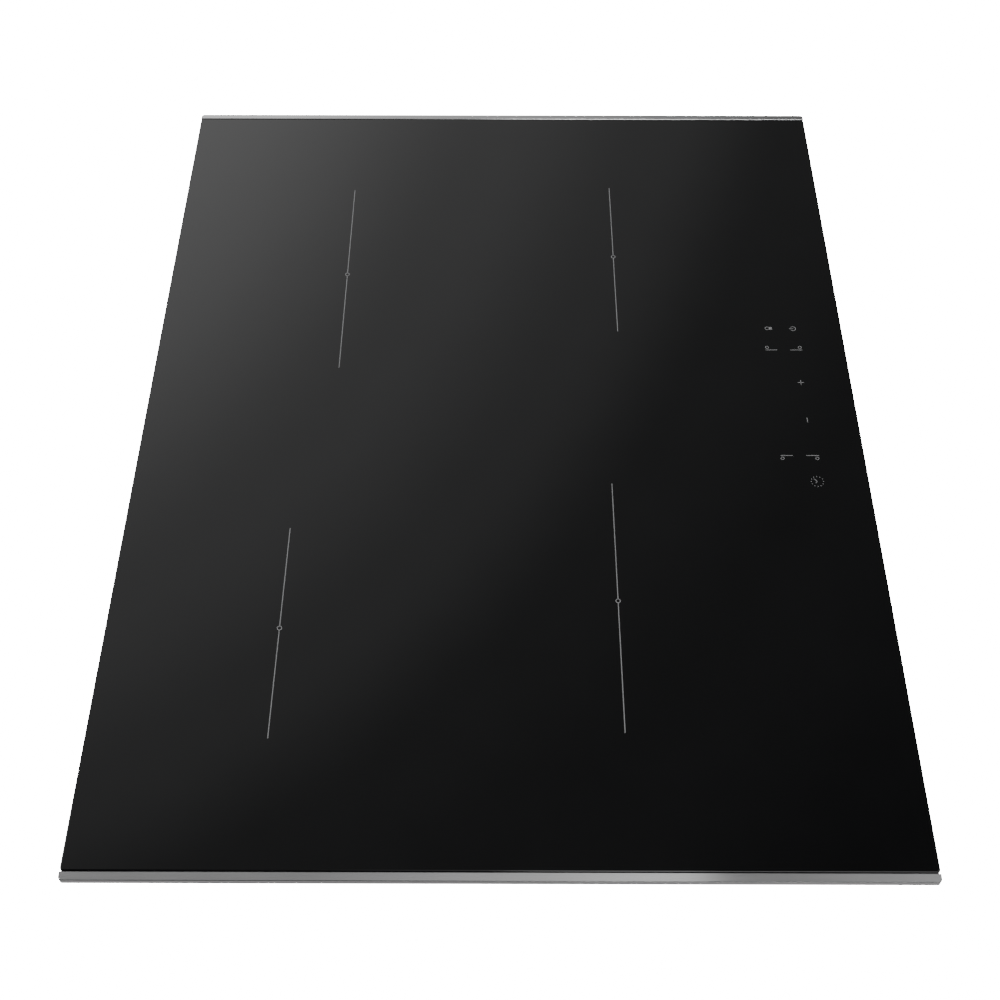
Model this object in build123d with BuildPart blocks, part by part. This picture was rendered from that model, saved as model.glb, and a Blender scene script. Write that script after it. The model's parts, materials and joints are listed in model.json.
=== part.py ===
"""Built-in electric induction cooktop, four zones, glass-ceramic top with metal side trims.

Frame: millimetres, +X to the user's right, -Y towards the user, +Z up.
The origin is at the centre of the underside of the sheet-metal pan.
"""

import os
from math import cos, radians, sin

from build123d import *

os.makedirs("parts", exist_ok=True)

# ---- Driving dimensions --------------------------------------------------------------
overall_width = 700.0  # over both side trims, along X
overall_depth = 520.0  # bare glass front to rear, along Y
glass_thickness = 4.0
pan_height = 54.0  # pan underside to glass underside
glass_corner_radius = 2.5
glass_arris = 0.5

trim_face_width = 5.6
trim_gap = 0.4  # shadow gap between glass edge and trim
trim_flange_reach = 14.0  # how far the trim runs under the glass
trim_flange_thickness = 1.0
trim_foot_chamfer = 1.0
trim_glue_thickness = 0.4

pan_width = 556.0
pan_depth = 486.0
sheet = 1.0
pan_corner_radius = 6.0
pan_flange_reach = 6.0
sealant_thickness = 1.5
seal_width = 8.0
seal_thickness = 3.0
seal_inset = 1.5  # glass edge to foam seal, front and rear

clamp_centre_x = 120.0
clamp_pocket_length = 90.0
clamp_pocket_depth = 24.0
clamp_pocket_height = 12.0
clamp_arm_length = 64.0
clamp_arm_width = 16.0
clamp_arm_thickness = 2.0
clamp_screw_radius = 2.5
running_clearance = 0.05

vent_slot_width = 3.2
vent_slot_pitch = 7.0

coil_plate_thickness = 1.2
coil_plate_top = 38.0
coil_plate_side_gap = 9.0
coil_plate_front_inset = 63.0  # pan front to the plate, room for the touch unit
coil_plate_rear_inset = 17.0
coil_plate_corner = 4.0
plate_slot_length = 200.0
plate_slot_width = 14.0
plate_post_radius = 4.5
plate_screw_radius = 2.0
plate_screw_clearance = 0.2
plate_screw_head_radius = 3.8
plate_screw_head_height = 2.2
plate_screw_depth = 8.0
plate_thread_depth = 12.0
post_outer_inset = 10.0  # plate side to the outer posts
post_front_inset = 12.0
post_rear_inset = 10.0
post_terminal_inset = 61.0  # keeps the rear outer posts clear of the terminal box
post_inner_x = 16.0
coil_travel = 3.0
wire_diameter = 4.0
lead_radius = 1.8
wire_pitch = 4.3
winding_start_radius = 24.0
big_turns = 15
small_turns = 10
carrier_thickness = 2.0
carrier_top = 48.4
ferrite_thickness = 4.0
insulation_thickness = 0.8
insulation_top = 53.7
sensor_radius = 5.0
sensor_hole_clearance = 4.0
spring_radius = 3.4
spring_wire_radius = 0.45
guide_pin_radius = 2.0
guide_pin_clearance = 0.3

board_thickness = 1.6
power_board_bottom = 7.0
power_board_length = 184.0  # along Y
power_board_width = 228.0  # along X
board_side_gap = 4.0  # coil plate side to board side
board_corner = 2.0
board_post_inset = 8.0
board_post_radius = 3.5
outlet_gap = 4.0  # blower outlet to board
blower_offset_x = 130.0
blower_centre_y = 105.0
blower_radius = 48.0
blower_height = 29.5
blower_wall = 1.5
rotor_radius = 38.0
rotor_height = 21.0
rotor_blades = 28
shaft_radius = 1.5
heat_sink_width = 42.0
heat_sink_length = 118.0
heat_sink_height = 22.0
sink_inset = 2.0

terminal_width = 76.0  # along X
terminal_length = 62.0  # along Y
terminal_height = 29.0
terminal_wall = 2.0
terminal_centre_x = 224.0
lid_thickness = 1.8
lid_clearance = 0.5
hinge_barrel_radius = 2.2
hinge_pin_radius = 1.5
gland_bore_radius = 6.5
gland_wall = 1.8
gland_height = 15.0
lead_run = 11.0  # straight run of a coil lead before it turns down
lead_hole_radius = 4.0
mains_lead_radius = 1.4

fit_gap = 0.3  # free gap between separate pieces

# ---- Cooking zones and touch keys (X, Y on the glass) ---------------------------------
zones = {
    "rear_right": (154.0, 121.5, big_turns),
    "front_right": (174.5, -88.7, small_turns),
    "rear_left": (-175.0, 145.2, small_turns),
    "front_left": (-153.0, -78.1, big_turns),
}
control_centre_x = 22.0
touch_width = 210.0
touch_depth = 46.0
touch_front_gap = 5.0  # pan wall to touch tray
touch_centre_y = -pan_depth / 2 + sheet + touch_front_gap + touch_depth / 2
key_offsets = {
    "lock": (95.7, 10.2),
    "power": (95.3, -8.3),
    "zone_rear_right": (73.2, 10.0),
    "zone_front_right": (73.2, -8.6),
    "plus": (40.3, -8.4),
    "minus": (3.7, -8.8),
    "zone_rear_left": (-29.5, 10.0),
    "zone_front_left": (-29.5, -8.6),
    "timer": (-53.0, -9.3),
}
key_places = {key: (x, touch_centre_y + offset) for key, (x, offset) in key_offsets.items()}

# ---- Dependent sizes ------------------------------------------------------------------
glass_under = pan_height
glass_top = glass_under + glass_thickness
glass_width = overall_width - 2 * (trim_face_width + trim_gap)
pan_rim = glass_under - sealant_thickness
half_pan_x = pan_width / 2
half_pan_y = pan_depth / 2
plate_underside = coil_plate_top - coil_plate_thickness
SIDES = {"left": -1, "right": 1}


def save(builder, node):
    """Label a finished piece and write it as one STEP file named after its node."""
    builder.part.label = node
    export_step(builder.part, f"parts/{node}.step")
    solids = builder.part.solids()
    print(f"{node}: {len(solids)} solid(s), {builder.part.volume:.0f} mm3")


def winding_outer_radius(turns):
    """Outer radius of a flat spiral winding with this many turns."""
    return winding_start_radius + turns * wire_pitch


# ---- Top: glass, trims, seals ---------------------------------------------------------
with BuildPart() as glass:
    with BuildSketch(Plane.XY.offset(glass_under)):
        RectangleRounded(glass_width, overall_depth, glass_corner_radius)
    extrude(amount=glass_thickness)
    chamfer(glass.faces().sort_by(Axis.Z)[-1].edges(), glass_arris)
    chamfer(glass.faces().sort_by(Axis.Z)[0].edges(), glass_arris)
save(glass, "glass_plate")

glue_top = glass_under
flange_top = glue_top - trim_glue_thickness
flange_bottom = flange_top - trim_flange_thickness
trim_outer_x = overall_width / 2
trim_inner_x = trim_outer_x - trim_face_width
trim_flange_x = trim_outer_x - trim_flange_reach
for side, sign in SIDES.items():
    with BuildPart() as trim:
        with BuildSketch(Plane.XZ.offset(-overall_depth / 2)):
            with BuildLine():
                Polyline(
                    (sign * (trim_outer_x - trim_foot_chamfer), flange_bottom),
                    (sign * trim_outer_x, flange_bottom + trim_foot_chamfer),
                    (sign * trim_outer_x, glass_top),
                    (sign * trim_inner_x, glass_top),
                    (sign * trim_inner_x, flange_top),
                    (sign * trim_flange_x, flange_top),
                    (sign * trim_flange_x, flange_bottom),
                    close=True,
                )
            make_face()
        extrude(amount=overall_depth)
        outer_edges = trim.edges().filter_by(Axis.Z).group_by(Axis.X)[0 if sign < 0 else -1]
        fillet(outer_edges, glass_corner_radius)
        top_edges = trim.faces().sort_by(Axis.Z)[-1].edges()
        chamfer(top_edges, 0.3)
    save(trim, f"trim_{side}")

with BuildPart() as trim_glue:
    with BuildSketch(Plane.XY.offset(flange_top)):
        glue_width = trim_flange_reach - trim_face_width - trim_gap - 2 * glass_arris
        glue_x = trim_flange_x + glue_width / 2
        with Locations((-glue_x, 0), (glue_x, 0)):
            Rectangle(glue_width, overall_depth - 2 * glass_corner_radius)
    extrude(amount=trim_glue_thickness)
save(trim_glue, "trim_adhesive")

seal_side_x = trim_flange_x - fit_gap - seal_width / 2
seal_end_y = overall_depth / 2 - seal_inset - seal_width / 2
with BuildPart() as seal:
    with BuildSketch(Plane.XY.offset(glass_under - seal_thickness)):
        with Locations((0, -seal_end_y), (0, seal_end_y)):
            Rectangle(2 * seal_side_x + seal_width, seal_width)
        with Locations((-seal_side_x, 0), (seal_side_x, 0)):
            Rectangle(seal_width, 2 * seal_end_y - seal_width - 2 * fit_gap)
    extrude(amount=seal_thickness)
save(seal, "worktop_seal")

# ---- Pan with clamp pockets, vents and the terminal opening ---------------------------
pocket_places = [
    (sx * clamp_centre_x, sy * (half_pan_y - clamp_pocket_depth / 2)) for sx in (-1, 1) for sy in (-1, 1)
]
terminal_rear_y = half_pan_y - sheet - fit_gap
terminal_centre_y = terminal_rear_y - terminal_length / 2
front_vents_x = (half_pan_x + clamp_centre_x + clamp_pocket_length / 2) / 2
gland_outer_radius = gland_bore_radius + gland_wall
with BuildPart() as pan:
    with BuildSketch():
        RectangleRounded(pan_width, pan_depth, pan_corner_radius)
    extrude(amount=pan_rim)
    with BuildSketch(Plane.XY.offset(pan_rim - sheet)):
        RectangleRounded(
            pan_width + 2 * pan_flange_reach,
            pan_depth + 2 * pan_flange_reach,
            pan_corner_radius + pan_flange_reach,
        )
    extrude(amount=sheet)
    with BuildSketch(Plane.XY.offset(sheet)):
        RectangleRounded(pan_width - 2 * sheet, pan_depth - 2 * sheet, pan_corner_radius - sheet)
        with Locations(*pocket_places):
            Rectangle(
                clamp_pocket_length + 2 * sheet, clamp_pocket_depth + 2 * sheet, mode=Mode.SUBTRACT
            )
    extrude(amount=pan_rim, mode=Mode.SUBTRACT)
    with BuildSketch(Plane.XY.offset(clamp_pocket_height + sheet)):
        RectangleRounded(pan_width - 2 * sheet, pan_depth - 2 * sheet, pan_corner_radius - sheet)
    extrude(amount=pan_rim, mode=Mode.SUBTRACT)
    with BuildSketch():
        with Locations(*pocket_places):
            Rectangle(clamp_pocket_length, clamp_pocket_depth)
    extrude(amount=clamp_pocket_height, mode=Mode.SUBTRACT)
    # Intake slots below each blower, outlet slots in the floor near the front.
    with BuildSketch():
        for sign in SIDES.values():
            with Locations((sign * blower_offset_x, blower_centre_y)):
                with GridLocations(vent_slot_pitch, 1, 8, 1):
                    SlotOverall(50, vent_slot_width, rotation=90)
            with Locations((sign * front_vents_x, 12 - half_pan_y + 22)):
                with GridLocations(vent_slot_pitch, 1, 12, 1):
                    SlotOverall(36, vent_slot_width, rotation=90)
        with Locations((terminal_centre_x, terminal_centre_y)):
            Rectangle(terminal_width + 2 * fit_gap, terminal_length + 2 * fit_gap)
    extrude(amount=sheet, mode=Mode.SUBTRACT)
    # Outlet slots in the front wall, and the round hole for the cable gland in the rear wall.
    with BuildSketch(Plane.XZ.offset(half_pan_y)):
        for sign in SIDES.values():
            with Locations((sign * clamp_centre_x, 30)):
                with GridLocations(vent_slot_pitch, 1, 14, 1):
                    SlotOverall(16, vent_slot_width, rotation=90)
    extrude(amount=-sheet, mode=Mode.SUBTRACT)
    with BuildSketch(Plane.XZ.offset(-half_pan_y)):
        with Locations((terminal_centre_x, gland_height)):
            Circle(gland_outer_radius)
    extrude(amount=sheet, mode=Mode.SUBTRACT)
save(pan, "base_pan")

with BuildPart() as sealant:
    with BuildSketch(Plane.XY.offset(pan_rim)):
        RectangleRounded(
            pan_width + 2 * pan_flange_reach,
            pan_depth + 2 * pan_flange_reach,
            pan_corner_radius + pan_flange_reach,
        )
        RectangleRounded(
            pan_width - 2 * sheet, pan_depth - 2 * sheet, pan_corner_radius - sheet, mode=Mode.SUBTRACT
        )
    extrude(amount=sealant_thickness)
save(sealant, "pan_sealant")

# ---- Swivel clamps --------------------------------------------------------------------
clamp_z = clamp_pocket_height / 2 - clamp_arm_thickness / 2
clamp_names = {(-1, -1): "front_left", (1, -1): "front_right", (-1, 1): "rear_left", (1, 1): "rear_right"}
pivot_to_end = clamp_arm_width / 2


def clamp_pivot(sx, sy):
    """Axis of one clamp's screw: near the pocket's outer end, clear of its walls."""
    x = sx * (clamp_centre_x + clamp_arm_length / 2 - pivot_to_end)
    y = sy * (half_pan_y - pivot_to_end - 2.0)
    return x, y


for (sx, sy), corner in clamp_names.items():
    pivot_x, pivot_y = clamp_pivot(sx, sy)
    reach = clamp_arm_length - clamp_arm_width
    with BuildPart() as clamp:
        with BuildSketch(Plane.XY.offset(clamp_z)):
            with Locations((pivot_x - sx * reach / 2, pivot_y)):
                SlotOverall(clamp_arm_length, clamp_arm_width)
        extrude(amount=clamp_arm_thickness)
        # Upturned gripping lip at the arm's free end.
        with BuildSketch(Plane.XY.offset(clamp_z + clamp_arm_thickness)):
            with Locations((pivot_x - sx * reach, pivot_y)):
                Circle(clamp_arm_width / 2 - 1)
                Circle(clamp_arm_width / 2 - 2.5, mode=Mode.SUBTRACT)
        extrude(amount=2.5)
        with Locations((pivot_x, pivot_y, clamp_z)):
            Cylinder(
                clamp_screw_radius + running_clearance,
                clamp_arm_thickness,
                align=(Align.CENTER, Align.CENTER, Align.MIN),
                mode=Mode.SUBTRACT,
            )
    save(clamp, f"clamp_{corner}")

with BuildPart() as clamp_screws:
    for sx, sy in clamp_names:
        screw_x, screw_y = clamp_pivot(sx, sy)
        with BuildSketch(Plane.XY.offset(clamp_z)):
            with Locations((screw_x, screw_y)):
                Circle(clamp_screw_radius)
        extrude(amount=clamp_pocket_height - clamp_z)
        with BuildSketch(Plane.XY.offset(clamp_z - running_clearance - 2.6)):
            with Locations((screw_x, screw_y)):
                Circle(clamp_screw_radius + 2.2)
                Rectangle(1.0, 6.4, mode=Mode.SUBTRACT)
        extrude(amount=2.6)
        with BuildSketch(Plane.XY.offset(clamp_z - running_clearance - 1.4)):
            with Locations((screw_x, screw_y)):
                Circle(clamp_screw_radius + 2.2)
        extrude(amount=1.4 + running_clearance - 0.05)
        with BuildSketch(Plane.XY.offset(clamp_z - running_clearance - 0.1)):
            with Locations((screw_x, screw_y)):
                Circle(clamp_screw_radius)
        extrude(amount=running_clearance + 0.2)
save(clamp_screws, "clamp_screws")

# ---- Coil support plates, hex posts and screws ----------------------------------------
plate_front_y = -half_pan_y + coil_plate_front_inset
plate_rear_y = half_pan_y - coil_plate_rear_inset
plate_outer_x = half_pan_x - sheet - coil_plate_side_gap
post_outer_x = plate_outer_x - post_outer_inset
post_front_y = plate_front_y + post_front_inset
post_quarter = (
    (post_outer_x, plate_rear_y - post_terminal_inset),
    (post_inner_x, plate_rear_y - post_rear_inset),
    (post_outer_x, post_front_y),
    (post_inner_x, post_front_y),
)
post_places = [(sign * x, y) for sign in SIDES.values() for x, y in post_quarter]


def spring_places(zone):
    """Spring and guide-pin axes of one coil: between its ferrite bars."""
    x, y, turns = zones[zone]
    big = turns == big_turns
    count, first, radius = (4, 22.5, 62.0) if big else (3, 30.0, 48.0)
    return [
        (
            x + radius * cos(radians(first + 360 / count * k)),
            y + radius * sin(radians(first + 360 / count * k)),
        )
        for k in range(count)
    ]


def lead_place(zone):
    """Where a coil's outer lead turns down: beside the last turn, clear of the rim."""
    x, y, turns = zones[zone]
    end_radius = winding_start_radius + (2 * turns - 1) * wire_pitch / 2 + wire_pitch / 4
    return x + end_radius, y + lead_run


with BuildPart() as plate:
    with BuildSketch(Plane.XY.offset(plate_underside)):
        with Locations((0, (plate_front_y + plate_rear_y) / 2)):
            RectangleRounded(2 * plate_outer_x, plate_rear_y - plate_front_y, coil_plate_corner)
            SlotOverall(plate_slot_length, plate_slot_width, rotation=90, mode=Mode.SUBTRACT)
        for zone, (zone_x, zone_y, turns) in zones.items():
            with Locations(*spring_places(zone)):
                Circle(guide_pin_radius + guide_pin_clearance, mode=Mode.SUBTRACT)
            with Locations((zone_x, zone_y)):
                Circle(sensor_radius + sensor_hole_clearance, mode=Mode.SUBTRACT)
            with Locations(lead_place(zone)):
                Circle(lead_hole_radius, mode=Mode.SUBTRACT)
        with Locations(*post_places):
            Circle(plate_screw_radius + plate_screw_clearance, mode=Mode.SUBTRACT)
    extrude(amount=coil_plate_thickness)
save(plate, "coil_plate")

with BuildPart() as posts:
    with BuildSketch(Plane.XY.offset(sheet)):
        with Locations(*post_places):
            RegularPolygon(plate_post_radius, 6)
    extrude(amount=plate_underside - sheet)
    with BuildSketch(Plane.XY.offset(plate_underside - plate_thread_depth)):
        with Locations(*post_places):
            Circle(plate_screw_radius)
    extrude(amount=plate_thread_depth, mode=Mode.SUBTRACT)
save(posts, "coil_plate_posts")

with BuildPart() as plate_screws:
    with BuildSketch(Plane.XY.offset(plate_underside - plate_screw_depth)):
        with Locations(*post_places):
            Circle(plate_screw_radius)
    extrude(amount=plate_screw_depth + coil_plate_thickness)
    with BuildSketch(Plane.XY.offset(coil_plate_top)):
        with Locations(*post_places):
            Circle(plate_screw_head_radius)
    extrude(amount=plate_screw_head_height)
    fillet(plate_screws.faces().group_by(Axis.Z)[-1].edges(), 1.0)
    with BuildSketch(Plane.XY.offset(coil_plate_top + 1.0)):
        with Locations(*post_places):
            Rectangle(4.2, 0.9)
            Rectangle(0.9, 4.2)
    extrude(amount=2, mode=Mode.SUBTRACT)
save(plate_screws, "coil_plate_screws")

# ---- Coil units -----------------------------------------------------------------------
winding_bottom = carrier_top
carrier_bottom = carrier_top - carrier_thickness
ferrite_bottom = carrier_bottom - ferrite_thickness
spring_height = carrier_bottom - coil_plate_top

with BuildPart() as one_spring:
    with BuildLine() as spring_line:
        Helix(
            pitch=(spring_height - 2 * spring_wire_radius) / 4,
            height=spring_height - 2 * spring_wire_radius,
            radius=spring_radius,
            center=(0, 0, coil_plate_top + spring_wire_radius),
        )
    with BuildSketch(Plane(origin=spring_line.line @ 0, z_dir=spring_line.line % 0)):
        Circle(spring_wire_radius)
    sweep()
    # Ends ground flat against the plate and the carrier.
    split(bisect_by=Plane.XY.offset(coil_plate_top), keep=Keep.TOP)
    split(bisect_by=Plane.XY.offset(carrier_bottom), keep=Keep.BOTTOM)

with BuildPart() as springs:
    for zone in zones:
        for x, y in spring_places(zone):
            add(one_spring.part.moved(Location((x, y, 0))))
save(springs, "coil_springs")

for zone, (zone_x, zone_y, turns) in zones.items():
    outer_radius = winding_outer_radius(turns)
    bars = 8 if turns == big_turns else 6
    with BuildPart() as carrier:
        with BuildSketch(Plane.XY.offset(carrier_bottom)):
            with Locations((zone_x, zone_y)):
                Circle(outer_radius + 3)
                Circle(sensor_radius + 1.0, mode=Mode.SUBTRACT)
                with PolarLocations(outer_radius * 0.62, bars, start_angle=180 / bars):
                    SlotOverall(outer_radius * 0.4, 7, mode=Mode.SUBTRACT)
            with Locations(*spring_places(zone)):
                Circle(spring_radius + 2.2)
        extrude(amount=carrier_thickness)
        # Hub round the sensor and low rim round the winding.
        with BuildSketch(Plane.XY.offset(carrier_top)):
            with Locations((zone_x, zone_y)):
                Circle(winding_start_radius - wire_pitch)
                Circle(winding_start_radius - wire_pitch - 2, mode=Mode.SUBTRACT)
                Circle(sensor_radius + 3.0)
                Circle(sensor_radius + 1.0, mode=Mode.SUBTRACT)
                Circle(outer_radius + 3)
                Circle(outer_radius + 1.6, mode=Mode.SUBTRACT)
        extrude(amount=2.0)
        with BuildSketch(Plane.XY.offset(carrier_bottom)):
            with Locations(*spring_places(zone)):
                Circle(guide_pin_radius)
        extrude(amount=-(carrier_bottom - plate_underside + 1.0))
        # Notch at the edge for the outer lead.
        lead_x, lead_y = lead_place(zone)
        with BuildSketch(Plane.XY.offset(carrier_bottom)):
            with Locations((lead_x + 2, lead_y)):
                Rectangle(2 * wire_diameter + 6, wire_diameter + 5)
        extrude(amount=carrier_thickness + 2.0, mode=Mode.SUBTRACT)
    save(carrier, f"coil_carrier_{zone}")

    with BuildPart() as winding:
        with BuildLine(Plane.XY.offset(winding_bottom + wire_diameter / 2)) as spiral:
            for half in range(2 * turns):
                lead = wire_pitch / 4 if half % 2 else -wire_pitch / 4
                radius = winding_start_radius + half * wire_pitch / 2
                CenterArc((zone_x + lead, zone_y), radius, 180 * (half % 2), 180)
        start = spiral.line @ 0
        with BuildSketch(Plane(origin=start, z_dir=(0, 1, 0))):
            Circle(wire_diameter / 2)
        sweep()
    save(winding, f"coil_winding_{zone}")

    with BuildPart() as ferrites:
        with BuildSketch(Plane.XY.offset(ferrite_bottom)):
            with Locations((zone_x, zone_y)):
                bar_length = outer_radius - winding_start_radius
                with PolarLocations(winding_start_radius + bar_length / 2, bars):
                    RectangleRounded(bar_length, 13.0, 0.8)
        extrude(amount=ferrite_thickness)
    save(ferrites, f"coil_ferrites_{zone}")

    with BuildPart() as insulation:
        with BuildSketch(Plane.XY.offset(insulation_top - insulation_thickness)):
            with Locations((zone_x, zone_y)):
                Circle(outer_radius + 2)
                Circle(sensor_radius + 0.5, mode=Mode.SUBTRACT)
        extrude(amount=insulation_thickness)
    save(insulation, f"coil_insulation_{zone}")

    with BuildPart() as sensor:
        with BuildSketch(Plane.XY.offset(ferrite_bottom)):
            with Locations((zone_x, zone_y)):
                Circle(sensor_radius)
        extrude(amount=insulation_top - ferrite_bottom)
        with BuildSketch(Plane.XY.offset(carrier_top + 0.0)):
            with Locations((zone_x, zone_y)):
                Circle(sensor_radius + 0.9)
        extrude(amount=1.0)
        fillet(sensor.faces().sort_by(Axis.Z)[-1].edges(), 0.6)
    save(sensor, f"coil_sensor_{zone}")

# ---- Blowers --------------------------------------------------------------------------
blower_bottom = sheet + 0.5
outlet_width = blower_radius - 6
outlet_length = 66.0
rotor_bottom = blower_bottom + 4.0
with BuildPart() as motors:
    for sign in SIDES.values():
        with BuildSketch(Plane.XY.offset(blower_bottom + blower_height - blower_wall - 1.5)):
            with Locations((sign * blower_offset_x, blower_centre_y)):
                Circle(14)
        extrude(amount=1.5)
        with BuildSketch(Plane.XY.offset(rotor_bottom)):
            with Locations((sign * blower_offset_x, blower_centre_y)):
                Circle(shaft_radius)
        extrude(amount=blower_bottom + blower_height - blower_wall - 1.5 - rotor_bottom)
save(motors, "blower_motors")

for side, sign in SIDES.items():
    centre_x = sign * blower_offset_x
    outlet_x = centre_x + sign * (blower_radius - outlet_width / 2)
    with BuildPart() as housing:
        with BuildSketch(Plane.XY.offset(blower_bottom)):
            with Locations((centre_x, blower_centre_y)):
                Circle(blower_radius)
            with Locations((outlet_x, blower_centre_y - outlet_length / 2)):
                Rectangle(outlet_width, outlet_length)
        extrude(amount=blower_height)
        with BuildSketch(Plane.XY.offset(blower_bottom + blower_wall)):
            with Locations((centre_x, blower_centre_y)):
                Circle(blower_radius - blower_wall)
            with Locations((outlet_x, blower_centre_y - outlet_length / 2 - 1)):
                Rectangle(outlet_width - 2 * blower_wall, outlet_length + 2)
        extrude(amount=blower_height - 2 * blower_wall, mode=Mode.SUBTRACT)
        with BuildSketch(Plane.XY.offset(blower_bottom)):
            with Locations((centre_x, blower_centre_y)):
                Circle(rotor_radius - 8)
        extrude(amount=blower_wall, mode=Mode.SUBTRACT)
    save(housing, f"blower_housing_{side}")

    hub_top = rotor_bottom + rotor_height
    with BuildPart() as rotor:
        # Back disc and hub cup, open below; the blades hang between the disc and the rim ring.
        with BuildSketch(Plane.XY.offset(hub_top - 1.5)):
            with Locations((centre_x, blower_centre_y)):
                Circle(rotor_radius)
        extrude(amount=1.5)
        with BuildSketch(Plane.XY.offset(rotor_bottom)):
            with Locations((centre_x, blower_centre_y)):
                Circle(rotor_radius)
                Circle(rotor_radius - 1.5, mode=Mode.SUBTRACT)
        extrude(amount=2)
        with BuildSketch(Plane.XY.offset(rotor_bottom)):
            with Locations((centre_x, blower_centre_y)):
                with PolarLocations(rotor_radius - 5.2, rotor_blades):
                    Rectangle(9.0, 0.8, rotation=sign * 28)
        extrude(amount=rotor_height - 1.5)
        with BuildSketch(Plane.XY.offset(rotor_bottom + 3)):
            with Locations((centre_x, blower_centre_y)):
                Circle(15)
        extrude(amount=rotor_height - 4.5)
        with Locations((centre_x, blower_centre_y, rotor_bottom)):
            Cylinder(
                shaft_radius + running_clearance,
                rotor_height,
                align=(Align.CENTER, Align.CENTER, Align.MIN),
                mode=Mode.SUBTRACT,
            )
    save(rotor, f"blower_rotor_{side}")

# ---- Power boards, heat sinks and components ------------------------------------------
board_top = power_board_bottom + board_thickness
board_outer_x = plate_outer_x - board_side_gap
board_centre_x = board_outer_x - power_board_width / 2
board_rear_y = blower_centre_y - outlet_length - outlet_gap
board_centre_y = board_rear_y - power_board_length / 2
sink_centre_x = blower_offset_x + blower_radius - outlet_width / 2
sink_rear_y = board_rear_y - sink_inset
sink_centre_y = sink_rear_y - heat_sink_length / 2
fin_pitch = 5.0
fin_count = 8
fin_thickness = 1.2
sink_base_thickness = 4.0
transistor_size = (5.0, 16.0, 20.0)
transistor_count = 4
transistor_pitch = 26.0
post_reach_x = power_board_width / 2 - board_post_inset
post_reach_y = power_board_length / 2 - board_post_inset
board_post_places = [
    (sign * (board_centre_x + along * post_reach_x), board_centre_y + across * post_reach_y)
    for sign in SIDES.values()
    for along in (-1, 1)
    for across in (-1, 1)
]

with BuildPart() as boards:
    with BuildSketch(Plane.XY.offset(power_board_bottom)):
        with Locations((-board_centre_x, board_centre_y), (board_centre_x, board_centre_y)):
            RectangleRounded(power_board_width, power_board_length, board_corner)
    extrude(amount=board_thickness)
save(boards, "power_boards")

sink_wall_x = sink_centre_x - heat_sink_width / 2 + sink_base_thickness / 2
fin_centre_x = sink_centre_x + sink_base_thickness / 2
with BuildPart() as sinks:
    for sign in SIDES.values():
        with BuildSketch(Plane.XZ.offset(-sink_rear_y)):
            with Locations((sign * sink_centre_x, board_top + sink_base_thickness / 2)):
                Rectangle(heat_sink_width, sink_base_thickness)
            with Locations((sign * sink_wall_x, board_top + heat_sink_height / 2)):
                Rectangle(sink_base_thickness, heat_sink_height)
            with Locations((sign * fin_centre_x, board_top + heat_sink_height / 2)):
                with GridLocations(fin_pitch, 1, fin_count, 1):
                    Rectangle(fin_thickness, heat_sink_height)
        extrude(amount=heat_sink_length)
save(sinks, "heat_sinks")

with BuildPart() as board_posts:
    with BuildSketch(Plane.XY.offset(sheet)):
        with Locations(*board_post_places):
            Circle(board_post_radius)
    extrude(amount=power_board_bottom - sheet)
save(board_posts, "board_posts")

with BuildPart() as transistors:
    for sign in SIDES.values():
        package_x = sign * (sink_centre_x - heat_sink_width / 2 - transistor_size[0] / 2)
        with Locations((package_x, sink_centre_y, board_top)):
            with GridLocations(1, transistor_pitch, 1, transistor_count):
                Box(*transistor_size, align=(Align.CENTER, Align.CENTER, Align.MIN))
save(transistors, "power_transistors")

connector_height = 9.0
connector_inset = 9.0  # board rear edge to the rear row of connectors
connector_size = 10.0
mains_connector_length = 30.0
ribbon_connector_size = (20.0, 8.0)
ribbon_connector_inset = 8.0
ribbon_x = -46.0
rear_left_lead_x = -58.0
mains_connector_x = board_centre_x + 60
capacitor_size = (32.0, 18.0, 20.0)
capacitor_pitch = 28.0
capacitor_gap = 8.0  # transistors to capacitors
choke_radius = 17.0
choke_bore_radius = 7.0
choke_height = 13.0
choke_edge_radius = 3.0
choke_side_inset = 30.0
choke_front_offset = 27.0
choke_rear_offset = 17.0
board_front_y = board_centre_y - power_board_length / 2
capacitor_side_x = sink_centre_x - heat_sink_width / 2 - transistor_size[0] - capacitor_gap
component_x = capacitor_side_x - capacitor_size[0] / 2
with BuildPart() as capacitors:
    for sign in SIDES.values():
        with Locations((sign * component_x, sink_centre_y, board_top)):
            with GridLocations(1, capacitor_pitch, 1, transistor_count):
                Box(*capacitor_size, align=(Align.CENTER, Align.CENTER, Align.MIN))
    fillet(capacitors.faces().group_by(Axis.Z)[-1].edges(), 1.0)
save(capacitors, "resonant_capacitors")

choke_x = board_outer_x - choke_side_inset
choke_places = [
    (sign * choke_x, sink_centre_y + offset)
    for sign in SIDES.values()
    for offset in (-choke_front_offset, choke_rear_offset)
]
with BuildPart() as chokes:
    with BuildSketch(Plane.XY.offset(board_top)):
        with Locations(*choke_places):
            Circle(choke_radius)
            Circle(choke_bore_radius, mode=Mode.SUBTRACT)
    extrude(amount=choke_height)
    fillet(chokes.faces().group_by(Axis.Z)[-1].edges(), choke_edge_radius)
save(chokes, "line_chokes")

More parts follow.
